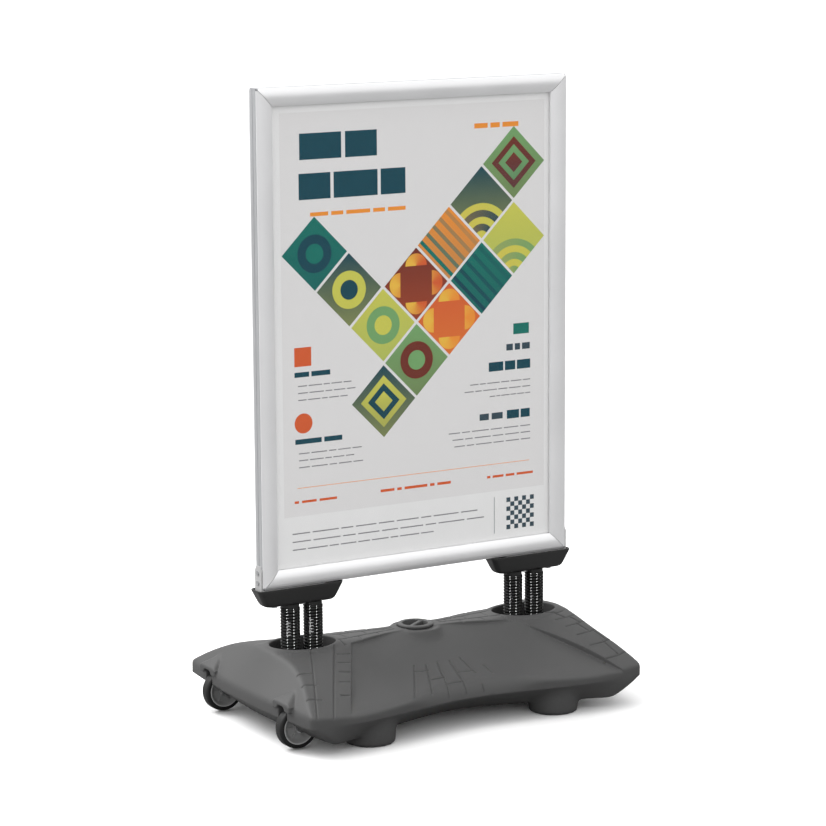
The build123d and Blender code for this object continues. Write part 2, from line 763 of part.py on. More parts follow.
for face, facing in faces.items():
    wheel_middle = facing * wheel_y
    axis = Axis((wheel_x, wheel_middle, wheel_z), (0, 1, 0))
    half = wheel_width / 2
    seat_radius = rim_radius + 2 * clearance
    flange_radius = rim_edge + 2 * clearance

    with BuildPart() as rim:
        with BuildSketch(wheel_plane(wheel_middle)):
            with Locations((axle_radius + clearance, 0)):
                Rectangle(
                    hub_radius - axle_radius - clearance,
                    wheel_width,
                    align=(Align.MIN, Align.CENTER),
                )
            with Locations((hub_radius, 0)):
                Rectangle(rim_inner - hub_radius, 2 * web_half, align=(Align.MIN, Align.CENTER))
            with Locations((rim_inner, 0)):
                Rectangle(rim_radius - rim_inner, 2 * rim_half, align=(Align.MIN, Align.CENTER))
            flange_y = rim_half - flange_thick / 2
            with Locations((rim_inner, -flange_y), (rim_inner, flange_y)):
                Rectangle(
                    rim_edge - rim_inner, flange_thick, align=(Align.MIN, Align.CENTER)
                )
        revolve(axis=axis)
    save(rim, f"wheel_rim_{face}")

    with BuildPart() as tyre:
        with BuildSketch(wheel_plane(wheel_middle)):
            with BuildLine():
                FilletPolyline(
                    (seat_radius, -rim_half + tyre_seat),
                    (flange_radius, -rim_half + tyre_seat),
                    (flange_radius, -half),
                    (wheel_radius, -half),
                    (wheel_radius, half),
                    (flange_radius, half),
                    (flange_radius, rim_half - tyre_seat),
                    (seat_radius, rim_half - tyre_seat),
                    radius=[0, 0, 0, tyre_round, tyre_round, 0, 0, 0],
                    close=True,
                )
            make_face()
        revolve(axis=axis)
    save(tyre, f"tyre_{face}")

    with BuildPart() as axle:
        bar_along_y(wheel_x, wheel_middle, wheel_z, axle_radius, axle_hole_length - axle_play)
    save(axle, f"axle_{face}")

    with BuildPart() as washers:
        for end in (-1, 1):
            washer_y = wheel_middle + end * (half + well_half_width) / 2
            bar_along_y(wheel_x, washer_y, wheel_z, washer_radius, washer_thick)
        bore_length = 2 * well_half_width
        bore_radius = axle_radius + clearance
        bar_along_y(wheel_x, wheel_middle, wheel_z, bore_radius, bore_length, Mode.SUBTRACT)
    save(washers, f"axle_washers_{face}")
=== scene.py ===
import json
import math

import bmesh
import bpy
import numpy as np
from mathutils import Matrix, Vector

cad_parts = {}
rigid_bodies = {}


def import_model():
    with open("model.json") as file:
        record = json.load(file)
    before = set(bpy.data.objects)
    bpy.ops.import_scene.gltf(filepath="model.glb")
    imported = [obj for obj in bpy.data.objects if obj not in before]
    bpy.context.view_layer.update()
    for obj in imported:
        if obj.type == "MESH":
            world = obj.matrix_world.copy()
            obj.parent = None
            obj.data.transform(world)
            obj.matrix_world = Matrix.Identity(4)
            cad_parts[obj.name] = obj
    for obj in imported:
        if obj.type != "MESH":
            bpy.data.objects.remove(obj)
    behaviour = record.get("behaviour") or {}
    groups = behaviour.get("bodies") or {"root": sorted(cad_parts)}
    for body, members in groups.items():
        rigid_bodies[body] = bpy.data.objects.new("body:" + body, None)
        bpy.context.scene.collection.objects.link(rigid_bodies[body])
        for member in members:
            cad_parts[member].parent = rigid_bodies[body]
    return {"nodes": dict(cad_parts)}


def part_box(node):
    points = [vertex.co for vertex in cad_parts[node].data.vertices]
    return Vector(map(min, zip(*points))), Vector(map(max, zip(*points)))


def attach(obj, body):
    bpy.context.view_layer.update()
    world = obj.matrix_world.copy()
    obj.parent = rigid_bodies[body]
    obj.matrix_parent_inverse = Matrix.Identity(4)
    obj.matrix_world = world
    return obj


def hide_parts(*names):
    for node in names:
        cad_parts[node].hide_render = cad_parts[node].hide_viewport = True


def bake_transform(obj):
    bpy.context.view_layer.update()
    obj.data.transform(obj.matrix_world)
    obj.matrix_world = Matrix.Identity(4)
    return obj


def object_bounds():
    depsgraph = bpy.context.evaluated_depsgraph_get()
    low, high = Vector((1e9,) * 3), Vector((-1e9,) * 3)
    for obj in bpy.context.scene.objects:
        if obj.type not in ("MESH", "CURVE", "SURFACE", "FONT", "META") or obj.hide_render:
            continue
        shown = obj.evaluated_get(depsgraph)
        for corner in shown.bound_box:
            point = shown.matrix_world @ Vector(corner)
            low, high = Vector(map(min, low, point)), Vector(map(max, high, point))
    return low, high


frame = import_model()
cad_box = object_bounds()
MM = 0.001


# ---- mesh helpers ------------------------------------------------------------------------------

def new_object(name, verts, faces, smooth=True):
    """A mesh object from vertices in metres and faces as index lists."""
    mesh = bpy.data.meshes.new(name)
    mesh.from_pydata([tuple(v) for v in verts], [], [tuple(f) for f in faces])
    mesh.update()
    if smooth:
        mesh.shade_smooth()
    piece = bpy.data.objects.new(name, mesh)
    bpy.context.scene.collection.objects.link(piece)
    return piece


def finish_piece(piece, body, slot, material, *nodes):
    """Puts a piece on its body, in place of the CAD nodes it stands for."""
    piece.data.materials.clear()
    piece.data.materials.append(material)
    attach(piece, body)
    if nodes:
        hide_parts(*nodes)
    return piece


# ---- tank: a smooth solid field, meshed and refined ---------------------------------------------

BASE_TOP = 148.0
BASE_BOTTOM = 20.0
BAND_BOTTOM = 57.0
BAND_TOP = 78.0
WHEEL = (-324.4, 141.0, 40.0)
WELL_RADIUS = 42.0
WELL_HALF = 13.5
POCKET_X = 234.5
POCKET_FLOOR = 74.0
POCKET = (63.0, 47.0)
FOOT = (192.0, 168.0)
FOOT_RADIUS = 46.0
CAP_SEAT_RADIUS = 33.5
NECK_RADIUS = 25.1


def smooth_max(a, b, radius):
    """The larger of a and b, with the corner where they meet rounded."""
    h = np.clip(0.5 + 0.5 * (a - b) / radius, 0, 1)
    return b + (a - b) * h + radius * h * (1 - h)


def smooth_min(a, b, radius):
    return -smooth_max(-a, -b, radius)


def ramp(value, low, high):
    """Rises smoothly from 0 at low to 1 at high."""
    t = np.clip((value - low) / (high - low), 0, 1)
    return t * t * (3 - 2 * t)


def ellipse_field(x, y, half_x, half_y):
    """Roughly the distance outside an ellipse round the origin."""
    return (np.sqrt((x / half_x) ** 2 + (y / half_y) ** 2) - 1) * min(half_x, half_y)


def spine_half(ax):
    """Half-width of the raised spine at distance ax from the middle."""
    return 20 + 22 * ramp(ax, 50, 175) + 12 * ramp(ax, 150, 200)


def strip_inner(x, ay):
    """Where the raised strip's inner edge runs, as a distance from the middle."""
    left = 161 + (ay - 48) * 0.571
    right = 180 + (ay - 39) * 0.632
    return np.where(x < 0, left, right)


def band_half(ax):
    """Half-width of the widest outline, drawn in at the waist."""
    return 232 - 31 * np.cos(np.pi * np.minimum(ax, 266) / 532) ** 2


def bottom_half(ax):
    """Half-width of the underside's outline."""
    return 139 + 0.37 * (np.sqrt(ax**2 + 80**2) - 80)


def tank_shell(x, y, z):
    """The outer shape without its pockets, wells and feet; negative inside, in millimetres."""
    ax, ay = np.abs(x), np.abs(y)
    bulge = 1 - np.clip(ay / 232, 0, 1) ** 2
    reach = 343 + 14 * bulge
    top = z - BASE_TOP + 0.0006 * ay**2
    crease = BAND_TOP - 8 * np.clip((343 - ax) / 77, 0, 1.2)
    fall = (ay - 43) / 189
    bow = 14 * 4 * np.clip(fall, 0, 1) * np.clip(1 - fall, 0, 1) * ramp(ax, 140, 290)
    strip = (z - (146 - (146 - crease) * fall + bow)) / math.hypot(1, 0.377)
    brow = 293 + 9.5 * (1 + np.cos(np.pi * np.minimum(ay / 150, 1)))
    end = (z - (147 - 69 * (ax - brow) / (reach - brow))) / np.hypot(1, 69 / (reach - brow))
    road = smooth_max(smooth_max(top, strip, 5.0), end, 6.0)
    half = spine_half(ax)
    band = band_half(ax)
    along = np.clip((ay - half) / (band - half), 0, 1.3)
    hollow = 7.0 * 4 * along * (1 - along)
    start = 147.0 - 5.5 * ramp(ax, 30, 120)
    scoop_z = start - (start - 80 + 10 * ramp(ax, 60, 290)) * along - hollow + 0.6 * bow
    scoop = (z - scoop_z) / math.hypot(1, 0.36)
    edge = np.maximum(ax - strip_inner(x, ay), half - ay)
    cut = smooth_max(-scoop, edge, 1.2)
    road = smooth_max(road, -cut, 1.4)
    sink = np.clip((BAND_BOTTOM - z) / (BAND_BOTTOM - BASE_BOTTOM), 0, 1.5)
    low = bottom_half(ax)
    side = (ay - band + (band - low) * sink) / np.hypot(1, (band - low) / 37 * (sink > 0))
    tuck = 55 - 9 * bulge
    ends = (ax - reach + tuck * sink) / np.hypot(1, tuck / 37 * (sink > 0))
    walls = smooth_max(side, ends, 10.0)
    soft = 4 + 26 * (1 - ramp(ax, 50, 150))
    body = smooth_max(road, walls, soft)
    return smooth_max(body, BASE_BOTTOM - z, 5.0)


def wheel_hood(x, wy, z):
    """The moulded hood over one wheel, standing on the end slope."""
    lid = (z - (105 - 0.62 * (-x - 330))) * 0.85
    flank = (np.abs(wy) - np.minimum(7 + (104 - z) * 1.25, 31)) * 0.62
    hood = smooth_max(lid, flank, 3.0)
    hood = smooth_max(hood, -x - 356.5, 3.0)
    return np.maximum(np.maximum(hood, 75 - z), x + 305)


def wheel_well(x, wy, z):
    """The slot one wheel stands in, open below and at the end."""
    wr = np.hypot(x - WHEEL[0], z - WHEEL[2])
    ahead = z - WHEEL[2] - WELL_RADIUS
    behind = np.where(z < WHEEL[2], x - WHEEL[0] - WELL_RADIUS, wr - WELL_RADIUS)
    arch = np.where(x < WHEEL[0], ahead, behind)
    return np.maximum(smooth_max(arch, np.abs(wy) - WELL_HALF, 9.0), x + 200)


def tank_field(x, y, z):
    """The whole tank as a field that is negative inside, in millimetres."""
    ax, ay = np.abs(x), np.abs(y)
    px, wy = ax - POCKET_X, ay - WHEEL[1]
    body = tank_shell(x, y, z)
    collar = smooth_max(ellipse_field(px, y, 71, 54) - 0.6 * (BASE_TOP - z), z - BASE_TOP + 0.4, 3)
    body = smooth_min(body, np.maximum(collar, 132 - z), 5.0)
    centre = np.hypot(x, y)
    boss = smooth_max(centre - 45 - 0.5 * (BASE_TOP - z), z - BASE_TOP + 1.0, 3.0)
    body = smooth_min(body, np.maximum(boss, 122 - z), 5.0)
    foot_r = np.hypot(ax - FOOT[0], ay - FOOT[1])
    foot = smooth_max(foot_r - FOOT_RADIUS + 2 - 0.08 * z, -z, 5.0)
    body = smooth_min(body, np.maximum(foot, z - 60), 9.0)
    body = smooth_min(body, wheel_hood(x, wy, z), 2.0)
    wr = np.hypot(x - WHEEL[0], z - WHEEL[2])
    body = smooth_min(body, np.maximum(wr - 6.0, np.abs(wy) - 21), 3.0)
    body = smooth_max(body, -wheel_well(x, wy, z), 2.0)
    pocket = np.maximum(ellipse_field(px, y, *POCKET), POCKET_FLOOR - z)
    body = smooth_max(body, -pocket, 3.0)
    seat = np.maximum(centre - CAP_SEAT_RADIUS, BASE_TOP - 1.3 - z)
    neck = np.maximum(centre - NECK_RADIUS, 112 - z)
    return np.maximum(np.maximum(body, -seat), -neck)


def surface_net(field, low, high, step):
    """Vertices and quads where the field crosses zero, on a regular grid."""
    axes = [np.arange(a, b + step, step) for a, b in zip(low, high)]
    x, y, z = np.meshgrid(*axes, indexing="ij", sparse=True)
    value = field(x, y, z)
    inside = value < 0
    shape = np.array(value.shape) - 1
    total = np.zeros(tuple(shape) + (3,))
    count = np.zeros(tuple(shape))
    corners = [(i, j, k) for i in (0, 1) for j in (0, 1) for k in (0, 1)]

    def part(array, offset):
        return array[tuple(slice(o, o + n) for o, n in zip(offset, shape))]

    for a in corners:
        for axis in range(3):
            if a[axis]:
                continue
            b = tuple(o + (n == axis) for n, o in enumerate(a))
            va, vb = part(value, a), part(value, b)
            crossing = part(inside, a) != part(inside, b)
            share = np.where(crossing, va / np.where(crossing, va - vb, 1), 0)
            for n in range(3):
                offset = a[n] + (share if n == axis else 0)
                total[..., n] += crossing * offset
            count += crossing
    used = count > 0
    index = np.full(tuple(shape), -1)
    index[used] = np.arange(used.sum())
    cell = np.argwhere(used)
    verts = cell + total[used] / count[used][:, None]
    verts = verts * step + np.array([a[0] for a in axes])
    faces = []
    for axis in range(3):
        u, v = (axis + 1) % 3, (axis + 2) % 3
        a = inside
        first = tuple(slice(0, -1) if n == axis else slice(1, -1) for n in range(3))
        second = tuple(slice(1, None) if n == axis else slice(1, -1) for n in range(3))
        crossing = a[first] != a[second]
        flip = a[first][crossing]
        place = np.argwhere(crossing)
        for n in range(3):
            if n != axis:
                place[:, n] += 1
        ring = []
        for du, dv in ((-1, -1), (0, -1), (0, 0), (-1, 0)):
            at = place.copy()
            at[:, u] += du
            at[:, v] += dv
            ring.append(index[tuple(at.T)])
        quads = np.stack(ring, 1)
        quads[~flip] = quads[~flip][:, ::-1]
        faces.append(quads)
    return verts, np.concatenate(faces)


def gradient(field, points, reach=0.4):
    """The field's gradient at each point."""
    result = np.zeros_like(points)
    for n in range(3):
        step = np.zeros(3)
        step[n] = reach
        ahead, behind = (points + step).T, (points - step).T
        result[:, n] = (field(*ahead) - field(*behind)) / (2 * reach)
    return result


def pull_to_surface(field, points, rounds=3):
    """Moves points along the gradient until they lie where the field is zero."""
    for _ in range(rounds):
        slope = gradient(field, points)
        size = np.maximum((slope**2).sum(1), 0.2)
        move = -(field(*points.T) / size)[:, None] * slope
        points = points + np.clip(move, -1.5, 1.5)
    return points


def tank_grooves():
    """The shallow joints of the moulded paving pattern, as plan segments on the front half."""
    lines = []
    for top_x, low_x in ((-243, -332), (-195, -299)):
        lines.append(((top_x, -45), (low_x, -231)))
    for share in (0.13, 0.27, 0.42, 0.57, 0.75):
        y = -48 - 184 * share
        inner = -161 - 105 * share
        lines.append(((inner - 3, y), (inner - 30 + 14 * share, y + 1)))
    for share in (0.41, 0.58, 0.77):
        y = -48 - 184 * share
        outer = -294 - 46 * share
        lines.append(((outer, y), (outer + 28, y - 4)))
    rows = (-45, -71, -99, -129, -162, -198)
    for n, y in enumerate(rows):
        outer = 293 - 0.27 * (y + 44)
        reach = 40 + 3 * n
        lines.append(((outer, y), (outer - 0.4 * reach, y - 5)))
        lines.append(((outer - 0.4 * reach, y - 5), (outer - reach, y - 5)))
        if n < 5:
            inset = 13 if n % 2 else 22
            low = rows[n + 1]
            lines.append(((outer - inset, y - 3), (293 - 0.27 * (low + 44) - inset, low - 3)))
    for side in (-1, 1):
        lines.append(((side * 48, -5), (side * 172, -19)))
        for n, ax in enumerate((66, 86, 106, 128, 150, 170)):
            split = 5 + 0.113 * (ax - 48)
            if n % 2:
                lines.append(((side * ax, -split), (side * (ax + 3), -spine_half(ax))))
            else:
                lines.append(((side * ax, 0), (side * ax, -split)))
    for x0, y0, x1, y1 in (
        (-68, -111, -124, -208),
        (-45, -115, -83, -199),
        (-20, -111, -50, -205),
        (5, -113, -12, -205),
        (29, -110, 31, -162),
        (60, -142, 61, -169),
        (26, -192, 24, -207),
        (-76, -128, -50, -131),
        (-60, -160, -33, -158),
        (-40, -180, -8, -178),
        (0, -150, 30, -152),
    ):
        lines.append(((x0, y0), (x1, y1)))
    return lines


def groove_depth(points, lines, width, depth):
    """How deep each point is pressed in by the grooves near it."""
    best = np.full(len(points), 1e9)
    plan = np.stack([points[:, 0], -np.abs(points[:, 1])], 1)
    for a, b in lines:
        a, b = np.array(a, float), np.array(b, float)
        run = b - a
        t = np.clip(((plan - a) @ run) / (run @ run), 0, 1)
        away = np.hypot(*(plan - a - t[:, None] * run).T)
        best = np.minimum(best, away)
    return best, depth * np.exp(-((best / width) ** 2))


def build_tank():
    low, high = (-366, -240, -6), (362, 240, 156)
    step = 5.4
    verts, quads = surface_net(tank_field, low, high, step)
    verts = pull_to_surface(tank_field, verts)
    lines = tank_grooves()
    bm = bmesh.new()
    made = [bm.verts.new(v) for v in verts]
    for q in quads:
        bm.faces.new([made[i] for i in q])
    bm.verts.index_update()
    for turn in range(2):
        points = np.array([v.co for v in bm.verts])
        normals = gradient(tank_field, points)
        normals /= np.linalg.norm(normals, axis=1)[:, None]
        near, _ = groove_depth(points, lines, 1.0, 1.0)
        facing_up = normals[:, 2] > 0.3
        chosen = set()
        for f in bm.faces:
            ids = [v.index for v in f.verts]
            n = normals[ids]
            bent = (n @ n.T).min() < (0.95 if turn == 0 else 0.88)
            grooved = facing_up[ids].all() and near[ids].min() < (5.0 if turn == 0 else 2.6)
            visible = points[ids, 2].max() > 21
            if (bent and visible) or grooved:
                chosen.update(f.edges)
        bmesh.ops.subdivide_edges(bm, edges=list(chosen), cuts=1, use_grid_fill=True)
        bm.verts.index_update()
        points = pull_to_surface(tank_field, np.array([v.co for v in bm.verts]), 2)
        for v, p in zip(bm.verts, points):
            v.co = p
    points = np.array([v.co for v in bm.verts])
    normals = gradient(tank_field, points)
    normals /= np.linalg.norm(normals, axis=1)[:, None]
    _, press = groove_depth(points, lines, 1.3, 2.0)
    press *= normals[:, 2] > 0.3
    points = (points - normals * press[:, None]) * MM
    for v, p in zip(bm.verts, points):
        v.co = p
    mesh = bpy.data.meshes.new("tank")
    bm.to_mesh(mesh)
    bm.free()
    # The groove depth is kept as a mesh attribute; the material uses it to paint shade into the grooves.
    groove_shade = mesh.attributes.new("groove_shade", "FLOAT", "POINT")
    groove_shade.data.foreach_set("value", press / 2.0)
    mesh.shade_smooth()
    piece = bpy.data.objects.new("tank", mesh)
    bpy.context.scene.collection.objects.link(piece)
    return piece


# ---- materials -----------------------------------------------------------------------------------

def link(tree, source, output, target, entry):
    tree.links.new(source.outputs[output], target.inputs[entry])


def node(tree, kind, **values):
    """A shader node with some of its inputs set by name."""
    made = tree.nodes.new(kind)
    for key, value in values.items():
        made.inputs[key.replace("_", " ")].default_value = value
    return made


def tint(colour, factor):
    return tuple(min(1.0, c * factor) for c in colour[:3]) + (1.0,)


def surface(name, colour, rough, grain, spread=0.08, bump=0.03, stretch=(1, 1, 1), metallic=0.0,
            rough_spread=0.08, coat=0.0, blotch=6.0, specular=0.5, groove_shade=0.0):
    """A principled material whose colour, roughness and relief all vary with two noises, with optional
    painted shade in grooves.
    """
    material = bpy.data.materials.new(name)
    material.use_nodes = True
    tree = material.node_tree
    shader = tree.nodes["Principled BSDF"]
    shader.inputs["Metallic"].default_value = metallic
    shader.inputs["Coat Weight"].default_value = coat
    shader.inputs["Specular IOR Level"].default_value = specular
    place = tree.nodes.new("ShaderNodeTexCoord")
    mapping = node(tree, "ShaderNodeMapping", Scale=stretch)
    link(tree, place, "Object", mapping, "Vector")
    fine = node(tree, "ShaderNodeTexNoise", Scale=grain, Detail=3.0, Roughness=0.6)
    broad = node(tree, "ShaderNodeTexNoise", Scale=blotch, Detail=4.0, Roughness=0.55)
    link(tree, mapping, "Vector", fine, "Vector")
    link(tree, place, "Object", broad, "Vector")
    sum_of = tree.nodes.new("ShaderNodeMath")
    sum_of.operation = "ADD"
    link(tree, fine, "Fac", sum_of, 0)
    link(tree, broad, "Fac", sum_of, 1)
    colours = tree.nodes.new("ShaderNodeValToRGB")
    colours.color_ramp.elements[0].position = 0.36
    colours.color_ramp.elements[0].color = tint(colour, 1 - spread)
    colours.color_ramp.elements[1].position = 0.64
    colours.color_ramp.elements[1].color = tint(colour, 1 + spread)
    half = tree.nodes.new("ShaderNodeMath")
    half.operation = "MULTIPLY"
    half.inputs[1].default_value = 0.5
    link(tree, sum_of, "Value", half, 0)
    link(tree, half, "Value", colours, "Fac")
    # Painted shade: the base colour is darkened where the groove attribute marks the moulded grooves.
    if groove_shade:
        pressed = tree.nodes.new("ShaderNodeAttribute")
        pressed.attribute_name = "groove_shade"
        darken = tree.nodes.new("ShaderNodeMapRange")
        darken.inputs["To Min"].default_value = 1.0
        darken.inputs["To Max"].default_value = 1.0 - groove_shade
        link(tree, pressed, "Fac", darken, "Value")
        shaded = tree.nodes.new("ShaderNodeVectorMath")
        shaded.operation = "SCALE"
        link(tree, colours, "Color", shaded, 0)
        link(tree, darken, "Result", shaded, "Scale")
        link(tree, shaded, "Vector", shader, "Base Color")
    else:
        link(tree, colours, "Color", shader, "Base Color")
    gloss = node(tree, "ShaderNodeMapRange", From_Min=0.3, From_Max=0.7)
    gloss.inputs["To Min"].default_value = max(0.02, rough - rough_spread)
    gloss.inputs["To Max"].default_value = min(1.0, rough + rough_spread)
    link(tree, half, "Value", gloss, "Value")
    link(tree, gloss, "Result", shader, "Roughness")
    relief = node(tree, "ShaderNodeBump", Strength=bump, Distance=0.001)
    link(tree, fine, "Fac", relief, "Height")
    link(tree, relief, "Normal", shader, "Normal")
    return material


def clear_sheet(name):
    """A thin clear sheet: mostly see-through, with a soft reflection that grows at grazing angles."""
    material = bpy.data.materials.new(name)
    material.use_nodes = True
    tree = material.node_tree
    tree.nodes.remove(tree.nodes["Principled BSDF"])
    output = tree.nodes["Material Output"]
    through = node(tree, "ShaderNodeBsdfTransparent", Color=(0.985, 0.985, 0.985, 1))
    shine = node(tree, "ShaderNodeBsdfGlossy", Color=(1, 1, 1, 1), Roughness=0.12)
    place = tree.nodes.new("ShaderNodeTexCoord")
    wave = node(tree, "ShaderNodeTexNoise", Scale=3.0, Detail=1.0)
    link(tree, place, "Object", wave, "Vector")
    relief = node(tree, "ShaderNodeBump", Strength=0.02, Distance=0.002)
    link(tree, wave, "Fac", relief, "Height")
    link(tree, relief, "Normal", shine, "Normal")
    edge = node(tree, "ShaderNodeLayerWeight", Blend=0.12)
    share = node(tree, "ShaderNodeMapRange", From_Min=0.0, From_Max=1.0)
    share.inputs["To Min"].default_value = 0.004
    share.inputs["To Max"].default_value = 0.12
    link(tree, edge, "Fresnel", share, "Value")
    mix = tree.nodes.new("ShaderNodeMixShader")
    link(tree, share, "Result", mix, "Fac")
    link(tree, through, "BSDF", mix, 1)
    link(tree, shine, "BSDF", mix, 2)
    link(tree, mix, "Shader", output, "Surface")
    return material


def printed(name):
    """Ink on paper: the mesh's own colours with a faint paper tooth."""
    material = bpy.data.materials.new(name)
    material.use_nodes = True
    tree = material.node_tree
    shader = tree.nodes["Principled BSDF"]
    shader.inputs["Roughness"].default_value = 0.55
    shader.inputs["Specular IOR Level"].default_value = 0.15
    ink = tree.nodes.new("ShaderNodeAttribute")
    ink.attribute_name = "ink"
    place = tree.nodes.new("ShaderNodeTexCoord")
    tooth = node(tree, "ShaderNodeTexNoise", Scale=700.0, Detail=2.0)
    link(tree, place, "Object", tooth, "Vector")
    shade = node(tree, "ShaderNodeMapRange", From_Min=0.3, From_Max=0.7)
    shade.inputs["To Min"].default_value = 0.97
    shade.inputs["To Max"].default_value = 1.03
    link(tree, tooth, "Fac", shade, "Value")
    scale = tree.nodes.new("ShaderNodeVectorMath")
    scale.operation = "SCALE"
    link(tree, ink, "Color", scale, 0)
    link(tree, shade, "Result", scale, "Scale")
    link(tree, scale, "Vector", shader, "Base Color")
    return material


def grey(level):
    """A neutral colour from a display level between 0 and 255."""
    return rgb(level, level, level)


def rgb(red, green, blue):
    """A linear colour from display levels between 0 and 255."""
    def linear(level):
        share = level / 255
        return share / 12.92 if share < 0.04045 else ((share + 0.055) / 1.055) ** 2.4
    return (linear(red), linear(green), linear(blue), 1.0)


FINISH = {
    # The tank's finish darkens its moulded grooves as painted shade.
    "tank_plastic": surface(
        "tank_plastic", grey(69), 0.55, 1500, 0.05, 0.10, specular=0.3, groove_shade=0.22
    ),
    "bracket_plastic": surface("bracket_plastic", grey(37), 0.40, 1300, 0.10, 0.12, specular=0.3),
    "spring_steel": surface(
        "spring_steel", grey(3), 0.1, 500, 0.15, 0.01, rough_spread=0.02, specular=0.08
    ),
    "plug_black": surface("plug_black", grey(24), 0.45, 1300, 0.10, 0.08, specular=0.3),
    "zinc_steel": surface("zinc_steel", rgb(190, 191, 193), 0.34, 600, 0.07, 0.03, metallic=1.0),
    "insert_brass": surface("insert_brass", rgb(196, 160, 90), 0.3, 700, 0.06, 0.03, metallic=1.0),
    "corner_plate_grey": surface("corner_plate_grey", grey(168), 0.5, 1000, 0.04, 0.06, specular=0.3),
    "frame_aluminium": surface(
        "frame_aluminium", rgb(238, 238, 239), 0.36, 900, 0.03, 0.03, (1, 1, 1), 0.8
    ),
    "core_aluminium": surface(
        "core_aluminium", rgb(190, 191, 193), 0.40, 900, 0.04, 0.04, (1, 1, 0.05), 0.8
    ),
    "key_diecast": surface("key_diecast", grey(150), 0.45, 500, 0.08, 0.08, metallic=0.8),
    "leaf_steel": surface("leaf_steel", grey(170), 0.3, 600, 0.05, 0.03, metallic=1.0),
    "backing_white": surface("backing_white", grey(225), 0.6, 400, 0.02, 0.05),
    "paper": surface("paper", grey(236), 0.6, 700, 0.012, 0.04, specular=0.3),
    "poster_print": printed("poster_print"),
    "cover_clear": clear_sheet("cover_clear"),
    "cap_plastic": surface("cap_plastic", grey(72), 0.5, 1300, 0.06, 0.10, specular=0.3),
    "seal_rubber": surface("seal_rubber", grey(26), 0.6, 900, 0.12, 0.08),
    "tyre_rubber": surface("tyre_rubber", grey(18), 0.5, 900, 0.12, 0.10, specular=0.3),
    "rim_plastic": surface("rim_plastic", grey(132), 0.38, 1100, 0.06, 0.05),
    "rim_lip": surface("rim_lip", grey(168), 0.3, 1100, 0.04, 0.04),
}


def dress(name, slot, width=0.0, material=None):
    """Gives a CAD node its finish, with its sharp edges softened if a width is given."""
    item = frame["nodes"][name]
    item.data.materials.clear()
    item.data.materials.append(FINISH[material or slot])
    if width:
        soft = item.modifiers.new("soften", "BEVEL")
        soft.width = width * MM
        soft.segments = 2
        soft.limit_method = "ANGLE"
        soft.angle_limit = math.radians(38)
        soft.harden_normals = False
    return item


# ---- turned and lofted pieces --------------------------------------------------------------------

def lathe(name, profile, centre, axis="Y", steps=96):
    """A closed turned solid from (radius, offset) pairs in millimetres, round a point in metres."""
    verts, faces = [], []
    for n in range(steps):
        angle = 2 * math.pi * n / steps
        for radius, offset in profile:
            a, b = radius * math.cos(angle) * MM, radius * math.sin(angle) * MM
            c = offset * MM
            local = (a, c, b) if axis == "Y" else (a, b, c)
            verts.append(tuple(p + q for p, q in zip(centre, local)))
    count = len(profile)
    for n in range(steps):
        here, there = n * count, (n + 1) % steps * count
        for k in range(count):
            k2 = (k + 1) % count
            face = (here + k, there + k, there + k2, here + k2)
            faces.append(face if axis == "Y" else face[::-1])
    piece = new_object(name, verts, faces)
    merge(piece)
    return piece


def merge(piece, distance=0.00001):
    """Joins coincident vertices and makes the faces point outwards."""
    bm = bmesh.new()
    bm.from_mesh(piece.data)
    bmesh.ops.remove_doubles(bm, verts=bm.verts, dist=distance)
    bmesh.ops.recalc_face_normals(bm, faces=bm.faces)
    bm.to_mesh(piece.data)
    bm.free()
    piece.data.shade_smooth()
    return piece


def crisp(piece, degrees=35):
    """Keeps edges sharper than an angle from being shaded round."""
    piece.data.set_sharp_from_angle(angle=math.radians(degrees))
    return piece


def outline(half_x, half_y, corner, count=14):
    """Points round a rectangle with rounded corners, counter-clockwise."""
    points = []
    for quarter in range(4):
        sx = 1 if quarter in (0, 3) else -1
        sy = 1 if quarter in (0, 1) else -1
        for n in range(count):
            angle = math.pi / 2 * (quarter + n / (count - 1))
            x = sx * (half_x - corner) + corner * math.cos(angle)
            y = sy * (half_y - corner) + corner * math.sin(angle)
            points.append((x, y))
    return points


def loft(name, levels, centre):
    """A closed solid through rings of points, each ring with its height, in millimetres."""
    verts, faces = [], []
    for ring, z in levels:
        verts += [(centre[0] + x * MM, centre[1] + y * MM, z * MM) for x, y in ring]
    count = len(levels[0][0])
    for n in range(len(levels) - 1):
        for k in range(count):
            k2 = (k + 1) % count
            faces.append((n * count + k, n * count + k2, (n + 1) * count + k2, (n + 1) * count + k))
    faces.append(tuple(range(count))[::-1])
    faces.append(tuple((len(levels) - 1) * count + k for k in range(count)))
    return merge(new_object(name, verts, faces))


# ---- springs -------------------------------------------------------------------------------------

WIRE_RADIUS = 2.45
SPRING_PITCH = 5.6


